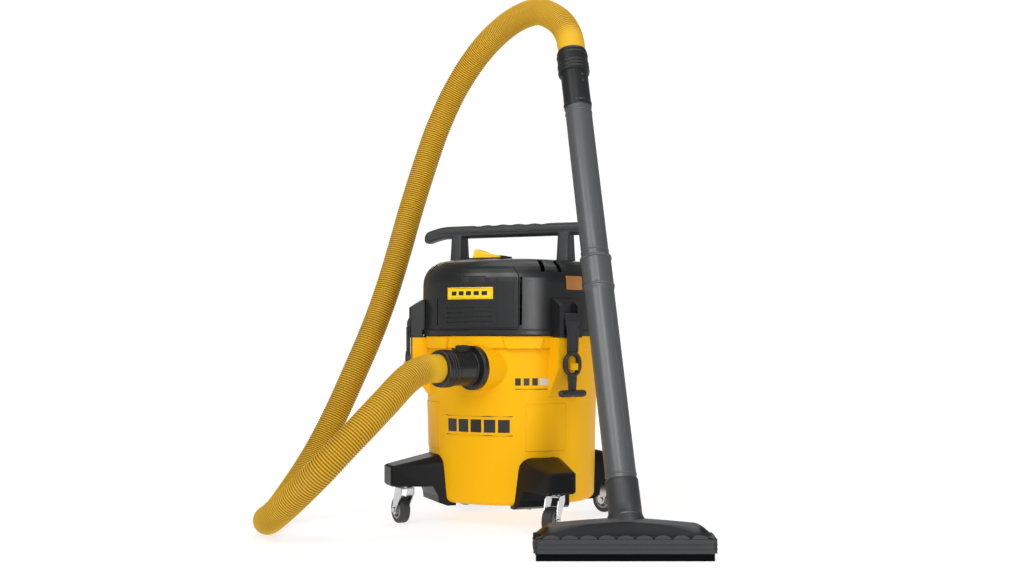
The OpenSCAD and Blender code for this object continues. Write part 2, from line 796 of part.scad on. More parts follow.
tank();
tank_gasket();
inlet_flange();
foot(0);  // foot_front_left
foot(1);  // foot_front_right
foot(2);  // foot_rear_left
foot(3);  // foot_rear_right
foot_screws();
fork(0);  // fork_front_left
fork(1);  // fork_front_right
fork(2);  // fork_rear_left
fork(3);  // fork_rear_right
axle(0);  // axle_front_left
axle(1);  // axle_front_right
axle(2);  // axle_rear_left
axle(3);  // axle_rear_right
hub(0);  // hub_front_left
hub(1);  // hub_front_right
hub(2);  // hub_rear_left
hub(3);  // hub_rear_right
tyre(0);  // tyre_front_left
tyre(1);  // tyre_front_right
tyre(2);  // tyre_rear_left
tyre(3);  // tyre_rear_right
lid_deck();
dome();
front_panel();
blank_badge();
side_inset();
handle();
handle_screws();
switch_bezel();
switch_paddle();
blower_port();
cord_gland();
latch_bracket(-1);  // latch_bracket_left
latch_bracket(1);  // latch_bracket_right
latch_pin(-1);  // latch_pin_left
latch_pin(1);  // latch_pin_right
latch_strap(-1);  // latch_strap_left
latch_strap(1);  // latch_strap_right
motor();
impeller();
turbine_housing();
float_cage();
float_cup();
filter();
filter_cap();
hose();
inlet_cuff();
cuff_button();
wand_cuff();
wand_upper();
wand_lower();
nozzle_body();
nozzle_base();
nozzle_strips();
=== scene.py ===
"""Looks for a wet and dry canister vacuum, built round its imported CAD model. Metres, +Z up, front to -Y."""

import json
import math

import bmesh
import bpy
from mathutils import Matrix, Vector


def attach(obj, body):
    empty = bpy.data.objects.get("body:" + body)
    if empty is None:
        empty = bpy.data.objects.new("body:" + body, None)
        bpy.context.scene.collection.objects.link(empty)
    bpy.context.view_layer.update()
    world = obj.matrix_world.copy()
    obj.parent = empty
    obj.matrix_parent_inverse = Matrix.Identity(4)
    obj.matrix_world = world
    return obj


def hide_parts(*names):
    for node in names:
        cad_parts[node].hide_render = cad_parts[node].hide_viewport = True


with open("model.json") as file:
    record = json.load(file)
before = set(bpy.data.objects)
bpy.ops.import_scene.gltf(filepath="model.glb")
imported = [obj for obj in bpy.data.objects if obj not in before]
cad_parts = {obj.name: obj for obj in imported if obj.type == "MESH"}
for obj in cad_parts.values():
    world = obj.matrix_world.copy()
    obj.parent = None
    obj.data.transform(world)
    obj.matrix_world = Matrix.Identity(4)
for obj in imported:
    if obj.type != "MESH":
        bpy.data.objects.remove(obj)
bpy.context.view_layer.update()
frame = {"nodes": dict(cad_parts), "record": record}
NODES = frame["nodes"]
MM = 0.001

# ---- Camera, in metres and degrees ----

CAMERA_AT = (1.082, -2.430, 0.380)
CAMERA_TURN = 24.0
LENS = 45.56
SHIFT_Y = 0.0444
CLIP_END = 50.0

# ---- Dimensions shared with the CAD model, in metres and degrees; the hose's route is in millimetres ----

HOSE_R = 0.027
RIB_PITCH = 0.0048
RIB_DEPTH = 0.0021
HOSE_PLAIN = 0.034
HOSE_FADE = 0.03
PATH_STEP = 0.02
HOSE_ROUTE = [
    (-26, -264, 313), (-42, -303, 312), (-52, -350, 296), (-66, -415, 252), (-96, -468, 198),
    (-144, -500, 138), (-207, -496, 84), (-272, -458, 46), (-327, -393, 29), (-363, -310, 32),
    (-380, -227, 67), (-376, -156, 128), (-356, -108, 208), (-333, -74, 290), (-312, -38, 374),
    (-294, -4, 462), (-280, 28, 554), (-266, 56, 646), (-248, 82, 738), (-222, 102, 832),
    (-180, 112, 920), (-116, 102, 992), (-36, 70, 1034), (44, 25, 1040), (107, -18, 1009),
    (142, -43, 968), (156, -60, 922),
]

PORT_AT = Vector((0.005, -0.188, 0.313))
PORT_TURN = -22.0
WAND_FOOT = Vector((0.3564, -0.3284, 0.086))
WAND_TILT = 21.85
WAND_TURN = 126.8
NOZZLE_AT = Vector((0.363, -0.351, 0.0))
NOZZLE_TURN = 24.0
NOZZLE_HALF = 0.153
NOZZLE_DEEP = 0.042
NOZZLE_FOOT = 0.0372
NECK_R = 0.0290
LATCH_ANGLE = 57.0
RING_Z = 0.320
TANK_R = 0.175
TANK_FOOT_R = 0.168
TANK_LOW_Z = 0.058
TANK_HIGH_Z = 0.349
PRINT_LIFT = 0.0003
PRINT_SINK = 0.0002
BADGE_R = 0.1866
BAR_HALF = 0.198
WHEEL_R = 0.027
STEM_R = 0.228
TRAIL = 0.020
# Each caster's place round the tank, and the way its wheel trails.
CASTERS = {
    "front_left": (-45, 144),
    "front_right": (45, 270),
    "rear_left": (-135, 205),
    "rear_right": (135, 162),
}

# ---- Node materials ----

COAT_ROUGH = 0.12
PEBBLE_SCALE = 1100.0
# How far up a face looks where its painted top light starts, and where it's full.
PAINTED_TOP_LIGHT_RANGE = (0.875, 0.92)


def shader(name):
    """A new node material, its tree and its surface node."""
    material = bpy.data.materials.new(name)
    material.use_nodes = True
    tree = material.node_tree
    return material, tree, tree.nodes["Principled BSDF"]


def add(tree, kind, inputs=None, **settings):
    """A shader node with its settings, and its inputs set or linked."""
    node = tree.nodes.new("ShaderNode" + kind)
    for key, value in settings.items():
        setattr(node, key, value)
    for key, value in (inputs or {}).items():
        if isinstance(value, bpy.types.NodeSocket):
            tree.links.new(value, node.inputs[key])
        else:
            node.inputs[key].default_value = value
    return node


def math_node(tree, operation, a, b=0.0, clamp=False):
    """One step of arithmetic on two values or sockets."""
    return add(tree, "Math", {0: a, 1: b}, operation=operation, use_clamp=clamp).outputs[0]


def blend_colours(tree, factor, a, b):
    """The mix of two colours or colour sockets."""
    node = add(tree, "Mix", {0: factor}, data_type="RGBA")
    for index, value in ((6, a), (7, b)):
        if isinstance(value, bpy.types.NodeSocket):
            tree.links.new(value, node.inputs[index])
        else:
            node.inputs[index].default_value = (*value, 1.0)
    return node.outputs[2]


def ramp(tree, value, low, high, low_out=0.0, high_out=1.0):
    """A value taken from one range to another, and held at its ends."""
    return add(tree, "MapRange", {0: value, 1: low, 2: high, 3: low_out, 4: high_out}).outputs[0]


def shade(colour, amount):
    """A colour made lighter or darker."""
    return tuple(max(0.0, min(1.0, c * amount)) for c in colour)


def object_noise(tree, scale, detail=3.0, stretch=None):
    """Noise in the object's own metres, stretched along chosen axes."""
    at = add(tree, "TexCoord").outputs["Object"]
    if stretch:
        at = add(tree, "Mapping", {"Vector": at, "Scale": stretch}).outputs[0]
    return add(tree, "TexNoise", {"Vector": at, "Scale": scale, "Detail": detail}).outputs["Fac"]


def edge_mask(tree, width):
    """The rounded-edge normal, and a mask that is 1 on sharp edges."""
    soft = add(tree, "Bevel", {"Radius": width}, samples=4).outputs[0]
    true = add(tree, "NewGeometry").outputs["Normal"]
    dot = add(tree, "VectorMath", {0: soft, 1: true}, operation="DOT_PRODUCT").outputs["Value"]
    mask = math_node(tree, "MULTIPLY", math_node(tree, "SUBTRACT", 1.0, dot), 6.0, clamp=True)
    return soft, mask


def plastic(
    name, colour, rough, grain=0.00006, scale=1400.0, mottle=0.08, edge=0.0012,
    edge_gain=1.6, coat=0.0, glint=0.5, dust_and_painted_top_light=0.0,
):
    """Moulded plastic: fine moulding grain, slow colour mottling, uneven gloss, and edges painted lighter,
    partly as rubbed wear and partly as a painted highlight.

    The last argument paints faces that look up lighter by that many times: painted top light, standing in for
    light from above.
    """
    material, tree, surface = shader(name)
    slow = object_noise(tree, 7.0, 4.0)
    fine = object_noise(tree, scale, 2.0)
    body = blend_colours(tree, slow, shade(colour, 1 - mottle), shade(colour, 1 + mottle))
    normal, mask = edge_mask(tree, edge)
    # Edges painted lighter: partly rubbed wear, partly a painted highlight along the edges.
    wear_and_painted_edge_highlight = math_node(tree, "MULTIPLY", mask, object_noise(tree, 90.0, 3.0))
    tint = blend_colours(tree, wear_and_painted_edge_highlight, body, shade(colour, edge_gain))
    # Painted top light: faces that look up are painted lighter, as if lit from above.
    if dust_and_painted_top_light:
        facing = add(tree, "SeparateXYZ", {0: add(tree, "NewGeometry").outputs["Normal"]}).outputs[2]
        tint = blend_colours(tree, ramp(tree, facing, *PAINTED_TOP_LIGHT_RANGE), tint, shade(colour, dust_and_painted_top_light))
    tree.links.new(tint, surface.inputs["Base Color"])
    tree.links.new(ramp(tree, slow, 0.0, 1.0, rough * 0.85, rough * 1.15), surface.inputs["Roughness"])
    bump = add(tree, "Bump", {"Height": fine, "Distance": grain, "Strength": 1.0, "Normal": normal})
    tree.links.new(bump.outputs[0], surface.inputs["Normal"])
    surface.inputs["Coat Weight"].default_value = coat
    surface.inputs["Coat Roughness"].default_value = COAT_ROUGH
    surface.inputs["Specular IOR Level"].default_value = glint
    return material


def rubber(name, colour, rough=0.62):
    """Moulded rubber: matte, with a fine pebbled skin and pale dust in it."""
    material, tree, surface = shader(name)
    dust_and_painted_top_light = object_noise(tree, 34.0, 6.0)
    body = blend_colours(tree, math_node(tree, "MULTIPLY", dust_and_painted_top_light, 0.5), colour, shade(colour, 2.4))
    tree.links.new(body, surface.inputs["Base Color"])
    surface.inputs["Roughness"].default_value = rough
    at = add(tree, "TexCoord").outputs["Object"]
    pebble = add(tree, "TexVoronoi", {"Vector": at, "Scale": PEBBLE_SCALE})
    normal, _ = edge_mask(tree, 0.0012)
    bump = add(tree, "Bump", {"Height": pebble.outputs[0], "Distance": 0.00006, "Normal": normal})
    tree.links.new(bump.outputs[0], surface.inputs["Normal"])
    return material


def metal(name, colour, rough, brush=(1.0, 1.0, 30.0)):
    """Plated or stamped metal: directional brushing and slightly brighter edges."""
    material, tree, surface = shader(name)
    lines = object_noise(tree, 260.0, 3.0, brush)
    cloud = object_noise(tree, 40.0, 4.0)
    tint = blend_colours(tree, cloud, shade(colour, 0.82), shade(colour, 1.12))
    tree.links.new(tint, surface.inputs["Base Color"])
    surface.inputs["Metallic"].default_value = 1.0
    tree.links.new(ramp(tree, lines, 0.0, 1.0, rough * 0.7, rough * 1.35), surface.inputs["Roughness"])
    normal, _ = edge_mask(tree, 0.0006)
    bump = add(tree, "Bump", {"Height": lines, "Distance": 0.00004, "Normal": normal})
    tree.links.new(bump.outputs[0], surface.inputs["Normal"])
    return material


def paper(name, colour):
    """Filter paper: soft fibres and dust."""
    material, tree, surface = shader(name)
    fibres = object_noise(tree, 500.0, 5.0, (1.0, 1.0, 0.3))
    dust_and_painted_top_light = object_noise(tree, 18.0, 5.0)
    tint = blend_colours(tree, dust_and_painted_top_light, shade(colour, 0.72), colour)
    tree.links.new(tint, surface.inputs["Base Color"])
    surface.inputs["Roughness"].default_value = 0.92
    bump = add(tree, "Bump", {"Height": fibres, "Distance": 0.0002})
    tree.links.new(bump.outputs[0], surface.inputs["Normal"])
    return material


def hose_skin(name, crest, valley):
    """Ribbed hose: the mesh's rib attribute takes it from valleys painted dark, a painted shade between the
    ribs, to pale crests.
    """
    material, tree, surface = shader(name)
    rib = add(tree, "Attribute", attribute_name="rib").outputs["Fac"]
    slow = object_noise(tree, 14.0, 5.0)
    speck = object_noise(tree, 700.0, 3.0)
    crest_tint = blend_colours(tree, slow, shade(crest, 0.86), shade(crest, 1.1))
    # Painted shade: the valleys between the ribs are painted dark.
    tint = blend_colours(tree, rib, valley, crest_tint)
    tint = blend_colours(tree, math_node(tree, "MULTIPLY", speck, 0.22), tint, shade(crest, 0.6))
    tree.links.new(tint, surface.inputs["Base Color"])
    surface.inputs["Roughness"].default_value = 0.5
    surface.inputs["Specular IOR Level"].default_value = 0.25
    bump = add(tree, "Bump", {"Height": speck, "Distance": 0.00012})
    tree.links.new(bump.outputs[0], surface.inputs["Normal"])
    return material


YELLOW = (0.89, 0.45, 0.003)
BRIGHT_YELLOW = (0.95, 0.60, 0.012)
BLACK = (0.011, 0.0115, 0.0125)
CHARCOAL = (0.026, 0.027, 0.029)
GREY = (0.066, 0.068, 0.071)
DARKEST = (0.006, 0.0065, 0.007)

# Each edge_gain sets how much lighter edges are painted, partly as wear and partly as a painted highlight.
LOOKS = {
    "tank_plastic": plastic(
        "tank_yellow", YELLOW, 0.42, mottle=0.03, edge=0.0022, edge_gain=1.08, glint=0.1
    ),
    "trim_yellow": plastic(
        "trim_yellow", BRIGHT_YELLOW, 0.36, mottle=0.03, edge=0.0015, edge_gain=1.05, glint=0.3
    ),
    # The hose's second colour is the painted shade in its valleys.
    "hose_plastic": hose_skin("hose_ochre", (0.74, 0.42, 0.016), (0.10, 0.040, 0.001)),
    "black_plastic": plastic("moulded_black", BLACK, 0.31, mottle=0.12, edge=0.0016, edge_gain=2.4),
    "handle_plastic": plastic(
        "handle_black", CHARCOAL, 0.46, grain=0.00012, scale=1000.0, mottle=0.1, edge=0.002
    ),
    "wand_plastic": plastic("wand_grey", GREY, 0.43, mottle=0.1, edge=0.0012, coat=0.2, glint=0.6),
    "hub_plastic": plastic("hub_grey", (0.32, 0.33, 0.34), 0.4, mottle=0.06, edge=0.0008, edge_gain=1.2),
    "float_plastic": plastic(
        "float_white", (0.62, 0.62, 0.58), 0.5, mottle=0.05, edge=0.001, edge_gain=1.1
    ),
    "inset_amber": plastic("inset_amber", (0.42, 0.17, 0.045), 0.25, mottle=0.15, edge=0.0015, coat=0.5),
    "filter_paper": paper("filter_paper", (0.78, 0.74, 0.65)),
    "seal_rubber": rubber("seal_rubber", (0.011, 0.011, 0.012)),
    "strap_rubber": rubber("strap_rubber", (0.016, 0.016, 0.018), 0.5),
    "wheel_rubber": rubber("wheel_rubber", (0.018, 0.018, 0.019), 0.55),
    "zinc_steel": metal("zinc_steel", (0.62, 0.63, 0.65), 0.24),
    "motor_metal": metal("motor_metal", (0.42, 0.43, 0.44), 0.35),
    "impeller_metal": metal("impeller_metal", (0.72, 0.73, 0.74), 0.22, (20.0, 20.0, 1.0)),
}
DEEP_BLACK = plastic(
    "deep_black", DARKEST, 0.36, mottle=0.12, edge=0.0018, edge_gain=3.2, glint=0.16
)
STRIP_RUBBER = plastic("strip_rubber", (0.0025, 0.0025, 0.003), 0.6, mottle=0.2, edge_gain=1.4, glint=0.04)
BLACKED_STEEL = metal("blacked_steel", (0.045, 0.045, 0.048), 0.45)
# The nozzle's upward faces are painted 14 times lighter: painted top light on its crest.
NOZZLE_BLACK = plastic(
    "nozzle_black", DARKEST, 0.4, mottle=0.12, edge=0.0018, edge_gain=3.2, glint=0.2, dust_and_painted_top_light=14.0
)
PRINT_BLACK = plastic("print_black", (0.012, 0.012, 0.013), 0.3, edge=0.0002, edge_gain=1.0)
PRINT_PALE = plastic("print_pale", (0.62, 0.60, 0.55), 0.35, edge=0.0002, edge_gain=1.0)

NODE_LOOKS = {
    "nozzle_base": LOOKS["handle_plastic"],
    "nozzle_strips": STRIP_RUBBER,
    "latch_pin_left": BLACKED_STEEL,
    "latch_pin_right": BLACKED_STEEL,
    **{"foot_" + corner: DEEP_BLACK for corner in CASTERS},
}

for part in frame["record"]["subparts"]:
    for holder in NODES[part["node"]].material_slots:
        holder.material = NODE_LOOKS.get(part["node"], LOOKS[part["material_slot"]])

# ---- Mesh helpers ----


def piece(name, verts, faces, body, slot, smooth=True, material=None):
    """A mesh piece in the row frame that rides on a body."""
    mesh = bpy.data.meshes.new(name)
    mesh.from_pydata([tuple(v) for v in verts], [], faces)
    cleaner = bmesh.new()
    cleaner.from_mesh(mesh)
    bmesh.ops.recalc_face_normals(cleaner, faces=cleaner.faces)
    cleaner.to_mesh(mesh)
    cleaner.free()
    mesh.polygons.foreach_set("use_smooth", [smooth] * len(mesh.polygons))
    mesh.materials.append(material or LOOKS[slot])
    made = bpy.data.objects.new(name, mesh)
    bpy.context.scene.collection.objects.link(made)
    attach(made, body)
    return made


def soften(made, width, segments=2, angle=40.0):
    """Rounds a piece's hard edges, and keeps its flat faces flat."""
    bevel = made.modifiers.new("round", "BEVEL")
    bevel.width = width
    bevel.segments = segments
    bevel.angle_limit = math.radians(angle)
    bevel.harden_normals = True
    return made


def loft(rings, closed=False, caps=True):
    """Vertices and faces through rings of equal length; closed joins the last ring to the first."""
    count = len(rings[0])
    verts = [p for ring in rings for p in ring]
    spans = len(rings) if closed else len(rings) - 1
    faces = []
    for i in range(spans):
        a, b = i * count, (i + 1) % len(rings) * count
        faces += [(a + k, a + (k + 1) % count, b + (k + 1) % count, b + k) for k in range(count)]
    if caps and not closed:
        faces.append(tuple(range(count))[::-1])
        faces.append(tuple((len(rings) - 1) * count + k for k in range(count)))
    return verts, faces


def merged(parts):
    """Several (verts, faces) pairs as one."""
    verts, faces = [], []
    for v, f in parts:
        start = len(verts)
        verts += list(v)
        faces += [tuple(i + start for i in face) for face in f]
    return verts, faces


def moved(part, matrix):
    """A (verts, faces) pair taken through a matrix."""
    verts, faces = part
    return [matrix @ Vector(v) for v in verts], faces


def turned(profile, steps=64):
    """A closed (radius, height) outline turned about Z."""
    rings = []
    for i in range(steps):
        a = 2 * math.pi * i / steps
        rings.append([Vector((r * math.cos(a), r * math.sin(a), z)) for r, z in profile])
    return loft(rings, closed=True)


def swept(path, radius, sides=12, closed=False):
    """A round bar along points; radius is a number or a function of the point's index."""
    rings, side = [], None
    last = len(path) - 1
    for i, point in enumerate(path):
        before = path[i - 1] if (closed or i) else path[0]
        after = path[(i + 1) % len(path)] if (closed or i < last) else path[last]
        along = (Vector(after) - Vector(before)).normalized()
        if side is None:
            side = along.orthogonal().normalized()
        side = (side - along * side.dot(along)).normalized()
        other = along.cross(side)
        r = radius(i) if callable(radius) else radius
        ring = []
        for k in range(sides):
            a = 2 * math.pi * k / sides
            ring.append(Vector(point) + r * (math.cos(a) * side + math.sin(a) * other))
        rings.append(ring)
    return loft(rings, closed=closed)


def block(x0, x1, y0, y1, z0, z1):
    """A box whose edges its piece then rounds."""
    verts = [Vector((x, y, z)) for z in (z0, z1) for y in (y0, y1) for x in (x0, x1)]
    faces = [(0, 1, 3, 2), (4, 5, 7, 6), (0, 1, 5, 4), (2, 3, 7, 6), (0, 2, 6, 4), (1, 3, 7, 5)]
    return verts, faces


def turn_z(degrees):
    """A turn about +Z."""
    return Matrix.Rotation(math.radians(degrees), 4, "Z")


def toward(angle):
    """Local +X points away from the tank's axis, at an angle from the front."""
    return turn_z(angle - 90)


def port_frame():
    """Local +Z points out of the hose port, and local +Y points up."""
    return Matrix.Translation(PORT_AT) @ turn_z(PORT_TURN) @ Matrix.Rotation(math.radians(90), 4, "X")


def wand_frame():
    """Local +Z runs up the wands."""
    tilt = Matrix.Rotation(math.radians(WAND_TILT), 4, "Y")
    return Matrix.Translation(WAND_FOOT) @ turn_z(WAND_TURN) @ tilt


def nozzle_frame():
    """Local +X runs along the nozzle, and local +Y points to its back."""
    return Matrix.Translation(NOZZLE_AT) @ turn_z(NOZZLE_TURN)


def superellipse(half_x, half_y, power, steps=32):
    """A rounded rectangle's outline as (x, y) pairs."""
    points = []
    for i in range(steps):
        a = 2 * math.pi * i / steps
        c, s = math.cos(a), math.sin(a)
        points.append((
            half_x * math.copysign(abs(c) ** (2 / power), c),
            half_y * math.copysign(abs(s) ** (2 / power), s),
        ))
    return points


def stadium(wide, high, steps=12):
    """The outline of a slot with round ends, taller than wide, as (x, y) pairs."""
    r, d = wide / 2, (high - wide) / 2
    points = []
    for sign, start in ((1, 0), (-1, math.pi)):
        for i in range(steps + 1):
            a = start + math.pi * i / steps
            points.append((r * math.cos(a), r * math.sin(a) + sign * d))
    return points


# ---- Camera ----


def make_camera():
    """The camera: level, turned to the machine's front right, and framed with a shift."""
    data = bpy.data.cameras.new("camera")
    data.lens = LENS
    data.shift_y = SHIFT_Y
    data.clip_end = CLIP_END
    camera = bpy.data.objects.new("camera", data)
    bpy.context.scene.collection.objects.link(camera)
    camera.location = CAMERA_AT
    camera.rotation_euler = (math.radians(90), 0, math.radians(CAMERA_TURN))
    bpy.context.scene.camera = camera


make_camera()

# ---- Hose ----


def curve_point(points, i, t):
    """A point of the smooth curve through the route's points."""
    a, b = points[max(i - 1, 0)], points[i]
    c, d = points[i + 1], points[min(i + 2, len(points) - 1)]
    return 0.5 * (2 * b + (c - a) * t + (2 * a - 5 * b + 4 * c - d) * t**2 + (3 * b - a - 3 * c + d) * t**3)


def hose_line(spacing):
    """Points evenly spaced along the hose's middle, and its length."""
    route = [Vector(p) * MM for p in HOSE_ROUTE]
    fine = 40
    dense = [curve_point(route, i, t / fine) for i in range(len(route) - 1) for t in range(fine)]
    dense.append(route[-1])
    gone = [0.0]
    for p, q in zip(dense, dense[1:]):
        gone.append(gone[-1] + (q - p).length)
    count = round(gone[-1] / spacing)
    points, k = [], 0
    for i in range(count + 1):
        want = gone[-1] * i / count
        while k < len(gone) - 2 and gone[k + 1] < want:
            k += 1
        share = (want - gone[k]) / (gone[k + 1] - gone[k])
        points.append(dense[k].lerp(dense[k + 1], share))
    return points, gone[-1]


def make_hose():
    """The ribbed hose, smooth for a short way at each cuff."""
    samples = 6
    sides = 36
    points, length = hose_line(RIB_PITCH / samples)

    def rib(i):
        """1 on a rib's crest and on the plain ends, 0 in a valley."""
        s = length * i / (len(points) - 1)
        near = min(s, length - s)
        swell = min(1.0, max(0.0, (near - HOSE_PLAIN) / HOSE_FADE))
        wave = 0.5 + 0.5 * math.cos(2 * math.pi * i / samples)
        return 1 - swell * (1 - wave**0.7)

    verts, faces = swept(points, lambda i: HOSE_R - RIB_DEPTH * (1 - rib(i)), sides)
    hose = piece("hose_ribbed", verts, faces, "vacuum", "hose_plastic")
    # The rib attribute also paints shade into the hose's valleys through its material.
    rib_painted_shade = hose.data.attributes.new("rib", "FLOAT", "POINT")
    rib_painted_shade.data.foreach_set("value", [rib(i) for i in range(len(points)) for _ in range(sides)])
    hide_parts("hose")
    path, _ = hose_line(PATH_STEP)


make_hose()

# ---- Tank ----


def tank_radius(z):
    """The tank's outer radius at a height."""
    return TANK_FOOT_R + (TANK_R - TANK_FOOT_R) * (z - TANK_LOW_Z) / (TANK_HIGH_Z - TANK_LOW_Z)


def tank_patch(name, outline, material):
    """A thin printed shape wrapped on the tank; its outline is in (degrees from the front, height)."""
    rings = []
    for extra in (-PRINT_SINK, PRINT_LIFT):
        ring = []
        for angle, z in outline:
            a, r = math.radians(angle), tank_radius(z) + extra
            ring.append(Vector((r * math.sin(a), -r * math.cos(a), z)))
        rings.append(ring)
    return piece(name, *loft(rings), "vacuum", "black_plastic", smooth=False, material=material)


def bar_outline(a0, a1, z0, z1, steps=12):
    """A bar from one angle to another and between two heights."""
    low = [(a0 + (a1 - a0) * i / steps, z0) for i in range(steps + 1)]
    high = [(a1 + (a0 - a1) * i / steps, z1) for i in range(steps + 1)]
    return low + high


def make_tank_prints():
    """Plain generic bars where the front and the side of the tank are printed."""
    reach = 24.5
    tank_patch("print_rule_high", bar_outline(-reach, reach, 0.2185, 0.2200), PRINT_BLACK)
    tank_patch("print_rule_low", bar_outline(-reach, reach, 0.1815, 0.1830), PRINT_BLACK)
    first, pitch, wide = -22.6, 9.4, 7.6
    for i in range(5):
        start = first + pitch * i
        tank_patch(f"print_bar_{i + 1}", bar_outline(start, start + wide, 0.188, 0.213, 6), PRINT_BLACK)
    low, high, narrow = 0.279, 0.293, 3.6
    for i, start in enumerate((26.0, 31.5, 37.0)):
        tank_patch(f"print_tick_{i + 1}", bar_outline(start, start + narrow, low, high, 4), PRINT_BLACK)
    tank_patch("print_pill", bar_outline(42.0, 50.5, low, high), PRINT_PALE)
    tank_patch("print_rule_small", bar_outline(26.0, 50.5, 0.2712, 0.2724), PRINT_BLACK)


make_tank_prints()


def make_port_swell():
    """The soft swelling of the tank's wall under the hose port."""
    half_wide, half_high, proud, sunk = 0.052, 0.048, 0.006, 0.0006
    middle_z, middle_angle = 0.300, math.radians(-3.0)
    steps, rows = 24, 9
    rings = []
    for j in range(rows):
        share = j / (rows - 1)
        rise = proud * (1 - share**2) ** 1.5 - sunk
        ring = []
        for i in range(steps):
            a = 2 * math.pi * i / steps
            z = middle_z + half_high * share * math.sin(a)
            angle = half_wide * share * math.cos(a) / TANK_R + middle_angle
            r = tank_radius(z) + rise
            ring.append(Vector((r * math.sin(angle), -r * math.cos(angle), z)))
        rings.append(ring)
    piece("port_swell", *loft(rings, caps=False), "vacuum", "tank_plastic")


make_port_swell()

# ---- Handle ----


def past(share, start):
    """How far a share has gone from a start to 1, from 0 to 1."""
    return max(0.0, (share - start) / (1 - start))


def bar_section(x):
    """The carrying bar's middle height and half sizes at a place along it."""
    top_z, bottom_z, fall, droop = 0.6035, 0.5765, 0.0015, 0.0125
    wave_reach, wave_start, wave_pitch, wave_deep = 0.092, 0.088, 0.0352, 0.0018
    half_deep, thinnest = 0.0168, 0.0006
    share = min(abs(x) / BAR_HALF, 1.0)
    top = top_z - fall * share - droop * past(share, 0.72) ** 1.7
    if abs(x) < wave_reach:
        top -= wave_deep * (0.5 - 0.5 * math.cos(2 * math.pi * (x + wave_start) / wave_pitch))
    bottom = bottom_z - droop * past(share, 0.74) ** 1.6
    close = math.sqrt(max(0.0, 1 - past(share, 0.94) ** 2))
    half_z = max(thinnest, (top - bottom) / 2 * close)
    return (top + bottom) / 2, half_z, max(thinnest, half_deep * (0.35 + 0.65 * close))


def make_handle():
    """The long carrying bar with finger waves, its grip lines, and its two flared posts."""
    cuts = 180
    rings = []
    for i in range(cuts + 1):
        x = -BAR_HALF + 2 * BAR_HALF * i / cuts
        z, half_z, half_y = bar_section(x)
        rings.append([Vector((x, y, z + dz)) for y, dz in superellipse(half_y, half_z, 3.4)])
    parts = [loft(rings)]
    post_x, post_low, post_high = 0.119, 0.5005, 0.5835
    half_wide, half_deep, flare_wide, flare_deep = 0.0120, 0.0182, 0.0030, 0.0068
    cuts = 24
    for side in (-1, 1):
        post = []
        for i in range(cuts + 1):
            share = i / cuts
            flare = (1 - share) ** 1.3
            outline = superellipse(half_wide + flare_wide * flare, half_deep + flare_deep * flare, 7.0)
            z = post_low + share * (post_high - post_low)
            post.append([Vector((side * post_x + x, y, z)) for x, y in outline])
        parts.append(loft(post))
    handle = piece("handle_moulded", *merged(parts), "vacuum", "handle_plastic")
    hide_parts("handle")
    reach, line_y, drop, line_r = 0.15, 0.0171, 0.0018, 0.0009
    cuts = 60
    stations = [-reach + 2 * reach * i / cuts for i in range(cuts + 1)]
    lines = []
    for y in (-line_y, line_y):
        line = [Vector((x, y, bar_section(x)[0] - drop)) for x in stations]
        lines.append(swept(line, line_r, 8))
    piece("handle_seams", *merged(lines), "vacuum", "handle_plastic")


make_handle()

# ---- Power head ----


def head_patch(x0, x1, z0, z1, lift, low_r=BADGE_R, high_r=BADGE_R, inset=0.0, steps=12):
    """A thin plate wrapped on the head's front; its top may be narrower and have its own radius."""
    low = [(x0 + (x1 - x0) * i / steps, z0, low_r) for i in range(steps + 1)]
    high = [(x1 - inset + (x0 - x1 + 2 * inset) * i / steps, z1, high_r) for i in range(steps + 1)]
    rings = []
    for extra in (-0.0003, lift):
        rings.append([Vector((x, -math.sqrt((r + extra) ** 2 - x * x), z)) for x, z, r in low + high])
    return loft(rings)


def make_badge():
    """A raised rim and plain bars on the blank badge, and the dark recess over it."""
    left, right, low, high = -0.0565, 0.0395, 0.4466, 0.4664
    rim, lift = 0.0014, 0.0010
    edges = [
        head_patch(left, right, high - rim, high, lift),
        head_patch(left, right, low, low + rim, lift),
        head_patch(left, left + rim, low + rim, high - rim, lift),
        head_patch(right - rim, right, low + rim, high - rim, lift),
    ]
    piece("badge_rim", *merged(edges), "vacuum", "trim_yellow", smooth=False)
    first, pitch, wide = -0.047, 0.0165, 0.011
    starts = [first + pitch * i for i in range(5)]
    bars = [head_patch(start, start + wide, 0.4525, 0.4605, 0.0006) for start in starts]
    piece("badge_bars", *merged(bars), "vacuum", "black_plastic", smooth=False, material=PRINT_BLACK)
    recess = head_patch(-0.0240, 0.0270, 0.4763, 0.4887, 0.0003, 0.1834, 0.1824, 0.004)
    piece("panel_recess", *recess, "vacuum", "seal_rubber", smooth=False)


make_badge()

# ---- Casters ----


def caster_matrix(name):
    """Local +Z runs along a wheel's axle, from the wheel's middle."""
    angle, trail_turn = CASTERS[name]
    a = math.radians(angle)
    stem = Matrix.Translation((STEM_R * math.sin(a), -STEM_R * math.cos(a), 0))
    wheel = Matrix.Translation((TRAIL, 0, WHEEL_R)) @ Matrix.Rotation(math.radians(90), 4, "X")
    return stem @ turn_z(trail_turn) @ wheel


